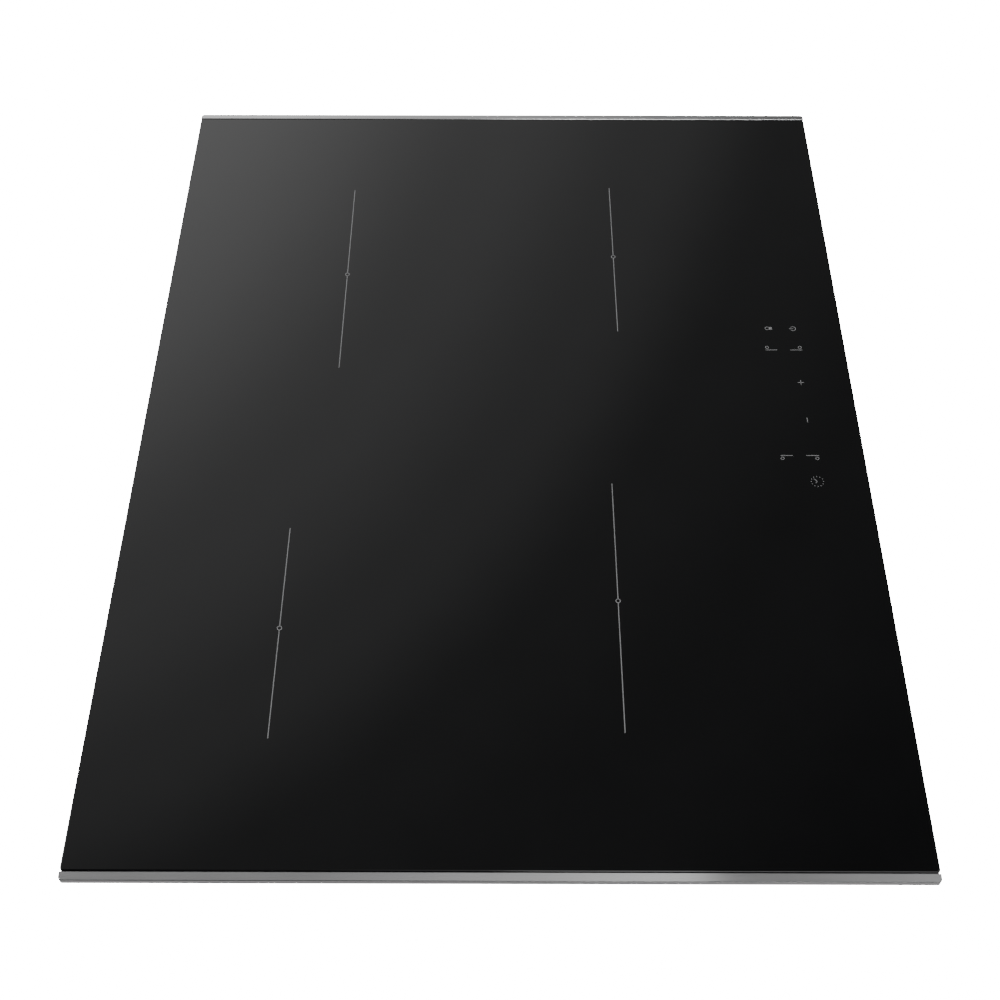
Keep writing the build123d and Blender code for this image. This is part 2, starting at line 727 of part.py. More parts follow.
rear_row_y = board_rear_y - connector_inset
lead_connector_places = [
    lead_place("front_right"),
    lead_place("front_left"),
    (lead_place("rear_right")[0], rear_row_y),
    (rear_left_lead_x, rear_row_y),
]
with BuildPart() as connectors:
    with BuildSketch(Plane.XY.offset(board_top)):
        with Locations(*lead_connector_places):
            RectangleRounded(connector_size, connector_size, 1)
        with Locations((mains_connector_x, rear_row_y)):
            RectangleRounded(mains_connector_length, connector_size, 1)
        with Locations((ribbon_x, board_front_y + ribbon_connector_inset)):
            RectangleRounded(*ribbon_connector_size, 1)
    extrude(amount=connector_height)
    fillet(connectors.faces().group_by(Axis.Z)[-1].edges(), 0.4)
save(connectors, "board_connectors")

# ---- Touch control unit ---------------------------------------------------------------
touch_board_top = 49.6
touch_board_bottom = touch_board_top - board_thickness
tray_wall = 2.0
tray_height = 8.0
tray_corner = 3.0
tray_leg_size = 8.0
tray_leg_bore = 4.0
tray_leg_spread = 120.0
tray_leg_offset = 20.0  # brings the legs between the clamp pockets
touch_board_clearance = 0.2
pad_radius = 4.0
pad_bore_radius = 2.4
display_depth = 11.0
display_height = 3.6
middle_display_width = 15.0
zone_display_width = 8.0
zone_display_offset = 12.0
touch_board_width = touch_width - 2 * tray_wall - 2 * touch_board_clearance
touch_board_depth = touch_depth - 2 * tray_wall - 2 * touch_board_clearance
with BuildPart() as touch_tray:
    with BuildSketch(Plane.XY.offset(touch_board_bottom - tray_height)):
        with Locations((control_centre_x, touch_centre_y)):
            RectangleRounded(touch_width, touch_depth, tray_corner)
    extrude(amount=tray_height + board_thickness)
    with BuildSketch(Plane.XY.offset(touch_board_bottom)):
        with Locations((control_centre_x, touch_centre_y)):
            RectangleRounded(touch_width - 2 * tray_wall, touch_depth - 2 * tray_wall, 1)
    extrude(amount=board_thickness, mode=Mode.SUBTRACT)
    with BuildSketch(Plane.XY.offset(touch_board_bottom - tray_height + tray_wall)):
        with Locations((control_centre_x, touch_centre_y)):
            Rectangle(touch_width - 4 * tray_wall, touch_depth - 4 * tray_wall)
    extrude(amount=tray_height, mode=Mode.SUBTRACT)
    # Four legs down to the pan floor, clear of the clamp pockets.
    with BuildSketch(Plane.XY.offset(sheet)):
        with Locations((control_centre_x - tray_leg_offset, touch_centre_y)):
            with GridLocations(tray_leg_spread, touch_depth - tray_leg_size - tray_wall, 2, 2):
                Rectangle(tray_leg_size, tray_leg_size)
                Rectangle(tray_leg_bore, tray_leg_bore, mode=Mode.SUBTRACT)
    extrude(amount=touch_board_bottom - tray_height - sheet)
save(touch_tray, "touch_tray")

with BuildPart() as touch_board:
    with BuildSketch(Plane.XY.offset(touch_board_bottom)):
        with Locations((control_centre_x, touch_centre_y)):
            RectangleRounded(touch_board_width, touch_board_depth, 1)
    extrude(amount=board_thickness)
save(touch_board, "touch_board")

with BuildPart() as touch_pads:
    with BuildSketch(Plane.XY.offset(touch_board_top)):
        with Locations(*key_places.values()):
            Circle(pad_radius)
            Circle(pad_bore_radius, mode=Mode.SUBTRACT)
    extrude(amount=glass_under - touch_board_top)
save(touch_pads, "touch_contact_springs")

with BuildPart() as displays:
    with Locations((control_centre_x, key_places["plus"][1], touch_board_top)):
        Box(
            middle_display_width,
            display_depth,
            display_height,
            align=(Align.CENTER, Align.CENTER, Align.MIN),
        )
    for key, (key_x, key_y) in key_places.items():
        if key.startswith("zone_"):
            inward = -zone_display_offset if key_x > control_centre_x else zone_display_offset
            with Locations((key_x + inward, key_y, touch_board_top)):
                Box(
                    zone_display_width,
                    display_depth,
                    display_height,
                    align=(Align.CENTER, Align.CENTER, Align.MIN),
                )
save(displays, "led_displays")

# ---- Terminal box, hinged cover, terminal block and cable gland ------------------------
inner_width = terminal_width - 2 * terminal_wall
inner_front_y = terminal_centre_y - terminal_length / 2 + terminal_wall
inner_rear_y = terminal_rear_y - terminal_wall
box_foot = fit_gap
hinge_y = inner_front_y + hinge_barrel_radius + lid_clearance
hinge_z = box_foot + hinge_barrel_radius
pin_engagement = 1.4
with BuildPart() as terminal_box:
    with BuildSketch(Plane.XY.offset(box_foot)):
        with Locations((terminal_centre_x, terminal_centre_y)):
            RectangleRounded(terminal_width, terminal_length, 1.0)
    extrude(amount=terminal_height)
    with BuildSketch(Plane.XY.offset(sheet)):
        with Locations((terminal_centre_x, terminal_centre_y - 2.5)):
            RectangleRounded(terminal_width + 8, terminal_length + 5, 1.0)
    extrude(amount=1.5)
    with BuildSketch(Plane.XY.offset(box_foot)):
        with Locations((terminal_centre_x, (inner_front_y + inner_rear_y) / 2)):
            Rectangle(inner_width, inner_rear_y - inner_front_y)
    extrude(amount=terminal_height - terminal_wall, mode=Mode.SUBTRACT)
    with BuildSketch(Plane.XZ.offset(-terminal_rear_y)):
        with Locations((terminal_centre_x, gland_height)):
            Circle(gland_outer_radius)
    extrude(amount=terminal_wall, mode=Mode.SUBTRACT)
    with BuildSketch(Plane.YZ.offset(terminal_centre_x - inner_width / 2 - pin_engagement - 0.2)):
        with Locations((hinge_y, hinge_z)):
            Circle(hinge_pin_radius + running_clearance)
    extrude(amount=inner_width + 2 * pin_engagement + 0.4, mode=Mode.SUBTRACT)
save(terminal_box, "terminal_box")

with BuildPart() as lid:
    lid_width = inner_width - 2 * lid_clearance
    lid_rear_y = inner_rear_y - lid_clearance
    with BuildSketch(Plane.XY.offset(box_foot)):
        with Locations((terminal_centre_x, (hinge_y + lid_rear_y) / 2)):
            Rectangle(lid_width, lid_rear_y - hinge_y)
    extrude(amount=lid_thickness)
    with BuildSketch(Plane.YZ.offset(terminal_centre_x - lid_width / 2)):
        with Locations((hinge_y, hinge_z)):
            Circle(hinge_barrel_radius)
    extrude(amount=lid_width)
    with BuildSketch(Plane.YZ.offset(terminal_centre_x - inner_width / 2 - pin_engagement)):
        with Locations((hinge_y, hinge_z)):
            Circle(hinge_pin_radius)
    extrude(amount=inner_width + 2 * pin_engagement)
    # Finger slot at the free edge.
    with BuildSketch(Plane.XY.offset(box_foot)):
        with Locations((terminal_centre_x, lid_rear_y)):
            SlotOverall(16, 5)
    extrude(amount=lid_thickness, mode=Mode.SUBTRACT)
save(lid, "terminal_cover")

block_top = box_foot + terminal_height - terminal_wall
poles = 5
pole_pitch = 10.0
pole_bore_radius = 2.6
block_height = 14.0
block_depth = 18.0
block_end_wall = 3.0
block_y = inner_front_y + 16.0
terminal_screw_low = 11.0  # screw foot, below the block's top
terminal_screw_height = 6.0
with BuildPart() as block:
    with BuildSketch(Plane.XY.offset(block_top - block_height)):
        with Locations((terminal_centre_x, block_y)):
            Rectangle(poles * pole_pitch + 2 * block_end_wall, block_depth)
            with GridLocations(pole_pitch, 1, poles, 1):
                Circle(pole_bore_radius, mode=Mode.SUBTRACT)
    extrude(amount=block_height)
save(block, "terminal_block")

with BuildPart() as terminal_screws:
    with BuildSketch(Plane.XY.offset(block_top - terminal_screw_low)):
        with Locations((terminal_centre_x, block_y)):
            with GridLocations(pole_pitch, 1, poles, 1):
                Circle(pole_bore_radius)
    extrude(amount=terminal_screw_height)
    with BuildSketch(Plane.XY.offset(block_top - terminal_screw_low)):
        with Locations((terminal_centre_x, block_y)):
            with GridLocations(pole_pitch, 1, poles, 1):
                Rectangle(4.4, 0.8)
    extrude(amount=1, mode=Mode.SUBTRACT)
save(terminal_screws, "terminal_screws")

with BuildPart() as gland:
    with BuildSketch(Plane.XZ.offset(-inner_rear_y)):
        with Locations((terminal_centre_x, gland_height)):
            Circle(gland_outer_radius)
    extrude(amount=-(half_pan_y - inner_rear_y))
    for face_y, thickness in ((inner_rear_y - 1.5, 1.5), (half_pan_y, 1.5)):
        with BuildSketch(Plane.XZ.offset(-face_y)):
            with Locations((terminal_centre_x, gland_height)):
                Circle(gland_outer_radius + 2.0)
        extrude(amount=-thickness)
    with BuildSketch(Plane.XZ.offset(-(inner_rear_y - 1.5))):
        with Locations((terminal_centre_x, gland_height)):
            Circle(gland_bore_radius)
    extrude(amount=-(half_pan_y - inner_rear_y + 3.0), mode=Mode.SUBTRACT)
save(gland, "cable_gland")


# ---- Internal wiring ------------------------------------------------------------------
def wire(points, radius, name):
    """Round wire along straight runs joined by tangent arcs, as large as the runs allow."""
    route = [Vector(*point) for point in points]
    radii = []
    for before, here, after in zip(route, route[1:], route[2:]):
        turn = (here - before).get_angle(after - here)
        shorter = min((here - before).length, (after - here).length)
        radii.append(0.45 * shorter / abs(sin(radians(turn / 2)) / cos(radians(turn / 2))))
    print(f"{name} bend radii:", [round(value, 1) for value in radii])
    with BuildLine() as line:
        FilletPolyline(*route, radius=radii)
    with BuildSketch(Plane(origin=line.line @ 0, z_dir=line.line % 0)) as section:
        Circle(radius)
    sweep(sections=section.sketch, path=line.line)


lead_z = winding_bottom + wire_diameter / 2
terminal_top = board_top + connector_height
lead_rise = 8.0  # level run of the rear leads, above the connectors
rear_left_jog = 14.0
rear_left_bend = (rear_left_lead_x, lead_place("rear_left")[1] - rear_left_jog)
lead_ends = {
    "rear_right": [(lead_place("rear_right")[0], rear_row_y)],
    "front_right": [],
    "rear_left": [rear_left_bend, (rear_left_lead_x, rear_row_y)],
    "front_left": [],
}
with BuildPart() as leads:
    for zone, bends in lead_ends.items():
        drop_x, drop_y = lead_place(zone)
        route = [(drop_x, drop_y - lead_run, lead_z), (drop_x, drop_y, lead_z)]
        if bends:
            route += [(drop_x, drop_y, terminal_top + lead_rise)]
            route += [(x, y, terminal_top + lead_rise) for x, y in bends]
            route += [(*bends[-1], terminal_top)]
        else:
            route += [(drop_x, drop_y, terminal_top)]
        wire(route, lead_radius, f"coil lead {zone}")
save(leads, "coil_leads")

with BuildPart() as mains_leads:
    for pole in (-1, 0, 1):
        start_x = terminal_centre_x + pole * pole_pitch
        start_y = inner_front_y - terminal_wall
        end_x = mains_connector_x + 8 * pole
        high = block_top - 7
        route = [
            (start_x, start_y, high),
            (start_x, start_y - 26, high),
            (end_x, start_y - 80, high + 4),
            (end_x, rear_row_y, high + 6),
            (end_x, rear_row_y, terminal_top),
        ]
        wire(route, mains_lead_radius, f"mains lead {pole}")
save(mains_leads, "mains_leads")

ribbon_thickness = 0.8
ribbon_width = 14.0
ribbon_bend_radius = 3.0
ribbon_overlap = 16.0  # run of the ribbon under the touch tray
ribbon_entry_height = 5.0
tray_rear_y = touch_centre_y + touch_depth / 2
ribbon_high_z = touch_board_bottom - tray_height - ribbon_thickness / 2
ribbon_low_z = board_top + ribbon_entry_height
ribbon_start_y = tray_rear_y - ribbon_overlap
ribbon_drop_y = (plate_front_y + tray_rear_y) / 2
ribbon_end_y = board_front_y + ribbon_connector_inset - ribbon_connector_size[1] / 2
ribbon_runs = (abs(ribbon_drop_y - ribbon_start_y), abs(ribbon_end_y - ribbon_drop_y))
with BuildPart() as ribbon:
    with BuildSketch(Plane.YZ.offset(ribbon_x - ribbon_width / 2)) as ribbon_side:
        with BuildLine():
            FilletPolyline(
                (ribbon_start_y, ribbon_high_z),
                (ribbon_drop_y, ribbon_high_z),
                (ribbon_drop_y, ribbon_low_z),
                (ribbon_end_y, ribbon_low_z),
                radius=min(ribbon_bend_radius, 0.45 * min(ribbon_runs)),
            )
        trace(line_width=ribbon_thickness)
    extrude(amount=ribbon_width)
save(ribbon, "control_ribbon")
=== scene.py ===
# %% [markdown]
# # A built-in induction cooktop
# The cooktop is a black glass-ceramic plate with a metal trim along each side, and a sheet-metal pan
# with the coils and electronics below it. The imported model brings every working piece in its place.
# This lesson adds what the eye meets first: the polished glass edge, the printed marks, and a
# finish with grain and wear on each piece.

# %% Load the frame
import json
from math import cos, pi, radians, sin

import bmesh
import bpy
from mathutils import Matrix, Vector


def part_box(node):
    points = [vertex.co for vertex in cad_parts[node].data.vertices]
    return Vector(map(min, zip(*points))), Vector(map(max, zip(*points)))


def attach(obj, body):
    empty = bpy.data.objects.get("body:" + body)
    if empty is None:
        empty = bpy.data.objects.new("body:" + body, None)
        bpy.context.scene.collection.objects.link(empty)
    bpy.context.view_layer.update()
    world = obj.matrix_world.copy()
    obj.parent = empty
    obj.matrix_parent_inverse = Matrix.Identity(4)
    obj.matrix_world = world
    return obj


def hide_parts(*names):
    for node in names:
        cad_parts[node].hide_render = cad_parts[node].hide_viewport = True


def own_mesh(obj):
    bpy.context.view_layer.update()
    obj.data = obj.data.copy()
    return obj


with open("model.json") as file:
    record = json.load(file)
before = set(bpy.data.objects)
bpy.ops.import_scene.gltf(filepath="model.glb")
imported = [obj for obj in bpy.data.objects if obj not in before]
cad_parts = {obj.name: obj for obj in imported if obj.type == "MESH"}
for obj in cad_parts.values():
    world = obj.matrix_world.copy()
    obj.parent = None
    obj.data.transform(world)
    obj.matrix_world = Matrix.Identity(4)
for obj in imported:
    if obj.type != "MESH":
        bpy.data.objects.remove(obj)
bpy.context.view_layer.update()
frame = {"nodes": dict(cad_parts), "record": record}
mm = 0.001
root_body = "cooktop"

# %% [markdown]
# The scene needs the few places that everything else lines up with. They are read from the working
# pieces: the top of the glass, its four sides, and the middle of each coil, where a zone mark goes.

# %% Read the places from the frame
glass_low, glass_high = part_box("glass_plate")
glass_top = glass_high.z
glass_centre = (glass_low + glass_high) / 2
zone_names = ("rear_right", "front_right", "rear_left", "front_left")


def middle_of(node):
    """The middle of a CAD node's box."""
    low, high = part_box(node)
    return (low + high) / 2


zone_centres = {zone: middle_of(f"coil_insulation_{zone}") for zone in zone_names}
print("glass top", round(glass_top, 4))
for zone, centre in zone_centres.items():
    print("zone", zone, "at", tuple(round(v, 3) for v in centre))

# %% [markdown]
# The camera stands at the left end of the cooktop and looks down along it, as a person does who
# bends over the worktop. A long plain floor lies just under the pan. Only its upper side can be
# seen, so the underside of the pan stays open to a view from below.

# %% Camera and floor
eye_height = 0.8439
eye_back = 0.3669
look_down = 52.74
camera_side = -0.0011
camera_turn = 0.16
focal_length = 54.63
camera_data = bpy.data.cameras.new("camera")
camera_data.lens = focal_length
camera = bpy.data.objects.new("camera", camera_data)
camera.location = (glass_low.x - eye_back, camera_side, glass_top + eye_height)
camera.rotation_euler = (radians(90 - look_down), 0, radians(-90 + camera_turn))
bpy.context.scene.collection.objects.link(camera)
bpy.context.scene.camera = camera


def new_object(name, mesh_maker):
    """A mesh object from a bmesh, linked to the scene."""
    mesh = bpy.data.meshes.new(name)
    mesh_maker.normal_update()
    mesh_maker.to_mesh(mesh)
    mesh_maker.free()
    thing = bpy.data.objects.new(name, mesh)
    bpy.context.scene.collection.objects.link(thing)
    return thing


floor_mesh = bmesh.new()
floor_reach = 12.0
floor_drop = 0.5 * mm
bmesh.ops.create_grid(floor_mesh, x_segments=1, y_segments=1, size=floor_reach)
bmesh.ops.translate(floor_mesh, vec=(0, 0, -floor_drop), verts=floor_mesh.verts)
floor = new_object("studio_floor", floor_mesh)
print("camera at", tuple(round(v, 3) for v in camera.location))

# %% [markdown]
# Black glass shows little but what it mirrors, so the light is built as a mirror picture. The
# studio is dim all round, with one soft bright patch in the far left corner. Three large soft boxes
# stand at the front, at the rear and behind the camera, out of the mirror's way, and light the metal
# and the pan. A fourth shines up from under the floor, which lets it through, so that the underside
# can be looked at too.

# %% Light
world = bpy.data.worlds.new("studio")
bpy.context.scene.world = world
world.use_nodes = True
sky = world.node_tree
background = sky.nodes["Background"]
patch_direction = Vector((0.80, 0.46, 0.47)).normalized()
direction = sky.nodes.new("ShaderNodeTexCoord")
towards_patch = sky.nodes.new("ShaderNodeVectorMath")
towards_patch.operation = "DOT_PRODUCT"
towards_patch.inputs[1].default_value = patch_direction
patch_ramp = sky.nodes.new("ShaderNodeValToRGB")
patch_ramp.color_ramp.interpolation = "EASE"
ramp_stops = (
    (0.0, 0.01), (0.60, 0.035), (0.72, 0.075), (0.79, 0.12), (0.84, 0.27), (0.89, 0.42), (0.965, 0.95),
)
while len(patch_ramp.color_ramp.elements) < len(ramp_stops):
    patch_ramp.color_ramp.elements.new(0.5)
for element, (place, level) in zip(patch_ramp.color_ramp.elements, ramp_stops):
    element.position = place
    element.color = (level, level, level, 1)
sky.links.new(direction.outputs["Generated"], towards_patch.inputs[0])
sky.links.new(towards_patch.outputs["Value"], patch_ramp.inputs["Fac"])
sky.links.new(patch_ramp.outputs["Color"], background.inputs["Color"])
background.inputs["Strength"].default_value = 1.6


def soft_box(name, place, aim, width, power):
    """A square studio light at a place, turned to face a point."""
    data = bpy.data.lights.new(name, "AREA")
    data.shape = "SQUARE"
    data.size = width
    data.energy = power
    light = bpy.data.objects.new(name, data)
    light.location = place
    light.rotation_euler = (Vector(aim) - Vector(place)).to_track_quat("-Z", "Y").to_euler()
    bpy.context.scene.collection.objects.link(light)
    return light


soft_box("box_front", (-0.2, -2.2, 1.7), (0, -0.1, 0), 1.4, 46)
soft_box("box_rear", (0.1, 2.3, 1.5), (0, 0, 0), 1.4, 26)
soft_box("box_over_camera", (-1.5, -0.5, 2.4), (0, 0, 0), 1.2, 40)
soft_box("box_below", (0.4, 0.5, -1.8), (0, 0, 0), 1.6, 45)

# %% [markdown]
# Every finish starts from the same bench: a principled shader that reads the piece's own object
# coordinates. A noise that is stretched along one axis gives brushed metal, a fine round one gives
# moulded plastic, and cells give zinc spangle. Colour, roughness and bump all come from such noises.

# %% A bench for materials


class Finish:
    """A material and short ways to add a pattern to its colour, roughness and relief."""

    def __init__(self, name, colour, metallic=0.0, ior=1.5):
        self.material = bpy.data.materials.new(name)
        self.material.use_nodes = True
        self.tree = self.material.node_tree
        self.shader = self.tree.nodes["Principled BSDF"]
        self.shader.inputs["Base Color"].default_value = (*colour, 1)
        self.shader.inputs["Metallic"].default_value = metallic
        self.shader.inputs["IOR"].default_value = ior
        self.colour = colour
        self.coordinates = self.tree.nodes.new("ShaderNodeTexCoord").outputs["Object"]
        self.relief = None

    def noise(self, size, stretch=(1, 1, 1), detail=3.0):
        """Cloudy noise from 0 to 1. Size is the width of its blotches in metres."""
        mapping = self.tree.nodes.new("ShaderNodeMapping")
        mapping.inputs["Scale"].default_value = tuple(s / size for s in stretch)
        texture = self.tree.nodes.new("ShaderNodeTexNoise")
        texture.inputs["Scale"].default_value = 1.0
        texture.inputs["Detail"].default_value = detail
        self.tree.links.new(self.coordinates, mapping.inputs["Vector"])
        self.tree.links.new(mapping.outputs["Vector"], texture.inputs["Vector"])
        return texture.outputs["Fac"]

    def cells(self, size):
        """Patches with straight sides, each of one random grey."""
        texture = self.tree.nodes.new("ShaderNodeTexVoronoi")
        texture.inputs["Scale"].default_value = 1 / size
        self.tree.links.new(self.coordinates, texture.inputs["Vector"])
        split = self.tree.nodes.new("ShaderNodeSeparateColor")
        self.tree.links.new(texture.outputs["Color"], split.inputs["Color"])
        return split.outputs["Red"]

    def spread(self, pattern, low, high):
        """Turns a pattern's 0 to 1 into low to high."""
        ranger = self.tree.nodes.new("ShaderNodeMapRange")
        ranger.inputs["From Min"].default_value = 0.25
        ranger.inputs["From Max"].default_value = 0.75
        ranger.inputs["To Min"].default_value = low
        ranger.inputs["To Max"].default_value = high
        self.tree.links.new(pattern, ranger.inputs["Value"])
        return ranger.outputs["Result"]

    def vary_colour(self, pattern, darker, lighter):
        """Mixes two tints of the colour by a pattern."""
        mix = self.tree.nodes.new("ShaderNodeMix")
        mix.data_type = "RGBA"
        mix.inputs["A"].default_value = (*(darker * c for c in self.colour), 1)
        mix.inputs["B"].default_value = (*(lighter * c for c in self.colour), 1)
        self.tree.links.new(self.spread(pattern, 0, 1), mix.inputs["Factor"])
        self.tree.links.new(mix.outputs["Result"], self.shader.inputs["Base Color"])
        return self

    def vary_roughness(self, pattern, low, high):
        self.tree.links.new(self.spread(pattern, low, high), self.shader.inputs["Roughness"])
        return self

    def raise_surface(self, pattern, height):
        """Adds relief of this many metres, on top of any earlier relief."""
        bump = self.tree.nodes.new("ShaderNodeBump")
        bump.inputs["Distance"].default_value = height
        self.tree.links.new(pattern, bump.inputs["Height"])
        if self.relief:
            self.tree.links.new(self.relief, bump.inputs["Normal"])
        self.tree.links.new(bump.outputs["Normal"], self.shader.inputs["Normal"])
        self.relief = bump.outputs["Normal"]
        return self


def paint(thing, finish):
    """Gives a piece one finish."""
    thing.data.materials.clear()
    thing.data.materials.append(finish.material)


glow_for_camera = 25.0
glow_for_mirrors = 0.02
table_white = Finish("table_white", (0.42, 0.42, 0.42))
table_white.vary_colour(table_white.noise(0.4), 0.98, 1.0)
table_white.vary_roughness(table_white.noise(0.02), 0.85, 0.95)
table_white.shader.inputs["Emission Color"].default_value = (1, 1, 1, 1)
sees_floor = table_white.tree.nodes.new("ShaderNodeLightPath")
glow = table_white.tree.nodes.new("ShaderNodeMapRange")
glow.inputs["To Min"].default_value = glow_for_mirrors
glow.inputs["To Max"].default_value = glow_for_camera
table_white.tree.links.new(sees_floor.outputs["Is Camera Ray"], glow.inputs["Value"])
table_white.tree.links.new(glow.outputs["Result"], table_white.shader.inputs["Emission Strength"])
underside = table_white.tree.nodes.new("ShaderNodeNewGeometry")
lets_through = table_white.tree.nodes.new("ShaderNodeMath")
lets_through.operation = "MAXIMUM"
table_white.tree.links.new(underside.outputs["Backfacing"], lets_through.inputs[0])
table_white.tree.links.new(sees_floor.outputs["Is Shadow Ray"], lets_through.inputs[1])
clear = table_white.tree.nodes.new("ShaderNodeBsdfTransparent")
one_sided = table_white.tree.nodes.new("ShaderNodeMixShader")
table_white.tree.links.new(lets_through.outputs["Value"], one_sided.inputs["Fac"])
table_white.tree.links.new(table_white.shader.outputs["BSDF"], one_sided.inputs[1])
table_white.tree.links.new(clear.outputs["BSDF"], one_sided.inputs[2])
table_surface = table_white.tree.nodes["Material Output"].inputs["Surface"]
table_white.tree.links.new(one_sided.outputs["Shader"], table_surface)
paint(floor, table_white)

# %% [markdown]
# Brushed metal needs something to mirror. A wide glowing panel hangs over the near end, out of the
# glass's own mirror view. It grows brighter towards the user's side, stops at an edge, and goes on
# dimmer, which gives the trims their slow change of tone and one crisp step.

# %% Overhead panel
panel_height = 2.0
panel_half_width, panel_half_length = 0.95, 1.5
panel_shift = -0.50
panel_strength = 2.2
panel_mesh = bmesh.new()
bmesh.ops.create_grid(panel_mesh, x_segments=1, y_segments=1, size=1.0)
bmesh.ops.scale(panel_mesh, vec=(panel_half_width, panel_half_length, 1), verts=panel_mesh.verts)
bmesh.ops.rotate(panel_mesh, cent=(0, 0, 0), matrix=Matrix.Rotation(pi, 3, "X"), verts=panel_mesh.verts)
bmesh.ops.translate(panel_mesh, vec=(panel_shift, 0, glass_top + panel_height), verts=panel_mesh.verts)
panel = new_object("studio_panel", panel_mesh)
panel_glow = Finish("panel_glow", (0, 0, 0))
along = panel_glow.tree.nodes.new("ShaderNodeSeparateXYZ")
span = panel_glow.tree.nodes.new("ShaderNodeMapRange")
span.inputs["From Min"].default_value = -1.0
span.inputs["From Max"].default_value = 1.0
tones = panel_glow.tree.nodes.new("ShaderNodeValToRGB")
tone_stops = ((0.0, 0.55), (0.07, 0.45), (0.29, 0.10), (0.31, 0.85), (0.5, 0.42), (0.7, 0.07), (0.93, 0.0))
while len(tones.color_ramp.elements) < len(tone_stops):
    tones.color_ramp.elements.new(0.5)
for element, (place, level) in zip(tones.color_ramp.elements, tone_stops):
    element.position = place
    element.color = (level, level, level, 1)
panel_glow.tree.links.new(panel_glow.coordinates, along.inputs["Vector"])
panel_glow.tree.links.new(along.outputs["Y"], span.inputs["Value"])
panel_glow.tree.links.new(span.outputs["Result"], tones.inputs["Fac"])
panel_glow.tree.links.new(tones.outputs["Color"], panel_glow.shader.inputs["Emission Color"])
panel_glow.shader.inputs["Emission Strength"].default_value = panel_strength
paint(panel, panel_glow)
print("bench ready")

# %% [markdown]
# The plate is glass-ceramic four millimetres thick, black all through, polished on top. Its edges
# are ground to a small round so they don't chip, and that round is what draws the thin bright line
# along each side. A cube pressed to size is the simplest start: its upright corners are beveled
# first, then the rims above and below, each with several segments so the light rolls over them.

# %% The glass plate
glass_corner = 2.5 * mm
glass_rim = 0.9 * mm
flat_face_area = 1e-3
plate_mesh = bmesh.new()
bmesh.ops.create_cube(plate_mesh, size=1.0)
plate_size = glass_high - glass_low
bmesh.ops.scale(plate_mesh, vec=plate_size, verts=plate_mesh.verts)
bmesh.ops.translate(plate_mesh, vec=glass_centre, verts=plate_mesh.verts)


def edges_along_z(mesh):
    return [e for e in mesh.edges if abs(e.verts[0].co.z - e.verts[1].co.z) > 1e-5]


def edges_at_height(mesh, height):
    return [e for e in mesh.edges if all(abs(v.co.z - height) < 1e-6 for v in e.verts)]


bmesh.ops.bevel(plate_mesh, geom=edges_along_z(plate_mesh), affect="EDGES", offset=glass_corner,
                segments=8, profile=0.5, material=-1)
for rim_height in (glass_high.z, glass_low.z):
    bmesh.ops.bevel(plate_mesh, geom=edges_at_height(plate_mesh, rim_height), affect="EDGES",
                    offset=glass_rim, segments=5, profile=0.5, material=-1)
bmesh.ops.recalc_face_normals(plate_mesh, faces=plate_mesh.faces)
plate = new_object("glass_plate_polished", plate_mesh)
for face in plate.data.polygons:
    face.use_smooth = face.area < flat_face_area
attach(plate, root_body)
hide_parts("glass_plate")
print("glass faces", len(plate.data.polygons))

# %% [markdown]
# The glass itself is nearly black with a mirror polish. A real plate is never perfect: the polish
# drifts a little, the surface has a slow waviness from rolling, and wiping leaves faint haze.

# %% Black glass-ceramic
black_glass = Finish("black_glass_ceramic", (0.0030, 0.0031, 0.0034), ior=1.54)
black_glass.vary_colour(black_glass.noise(0.06), 0.85, 1.15)
black_glass.vary_roughness(black_glass.noise(0.05, detail=5), 0.035, 0.075)
black_glass.raise_surface(black_glass.noise(0.03, detail=1), 0.000006)
paint(plate, black_glass)

# %% [markdown]
# The marks are ceramic enamel, screen-printed and fired on: a few hundredths of a millimetre of
# pale grey glass paint. Each is modelled as that thin raised layer, so it has its own edge and
# finish. A line starts as a flat disc pulled apart in the middle, a ring as two circles bridged
# together, and both get their thickness from one extrusion.

# %% Printing helpers
enamel_thickness = 0.03 * mm
line_segments = 16


def give_thickness(mesh, faces):
    """Raises flat faces into a thin layer that lies on the glass."""
    raised = bmesh.ops.extrude_face_region(mesh, geom=faces)["geom"]
    tops = [g for g in raised if isinstance(g, bmesh.types.BMVert)]
    bmesh.ops.translate(mesh, vec=(0, 0, enamel_thickness), verts=tops)


def print_line(mesh, start, end, width):
    """A printed line with round ends, from start to end (X, Y)."""
    start, end = Vector((*start, glass_top)), Vector((*end, glass_top))
    run = end - start
    half_step = Matrix.Rotation(pi / line_segments, 4, "Z")
    flat = bmesh.ops.create_circle(
        mesh, cap_ends=True, segments=line_segments, radius=width / 2, matrix=half_step
    )["verts"]
    turn = Matrix.Rotation(run.to_2d().angle_signed(Vector((1, 0))), 4, "Z")
    for vert in flat:
        if vert.co.x > 0:
            vert.co.x += run.length / 2
        else:
            vert.co.x -= run.length / 2
    bmesh.ops.transform(mesh, matrix=Matrix.Translation((start + end) / 2) @ turn, verts=flat)
    give_thickness(mesh, list({f for v in flat for f in v.link_faces}))


def print_ring(mesh, centre, outer, width, segments=40):
    """A printed ring: two circles, bridged."""
    place = Matrix.Translation((*centre, glass_top))
    rims = []
    for radius in (outer, outer - width):
        circle = bmesh.ops.create_circle(mesh, segments=segments, radius=radius, matrix=place)["verts"]
        rims += list({e for v in circle for e in v.link_edges})
    faces = bmesh.ops.bridge_loops(mesh, edges=rims)["faces"]
    give_thickness(mesh, faces)


def print_dot(mesh, centre, radius, segments=14):
    """A printed dot."""
    place = Matrix.Translation((*centre, glass_top))
    dot = bmesh.ops.create_circle(
        mesh, cap_ends=True, segments=segments, radius=radius, matrix=place
    )["verts"]
    give_thickness(mesh, list({f for v in dot for f in v.link_faces}))


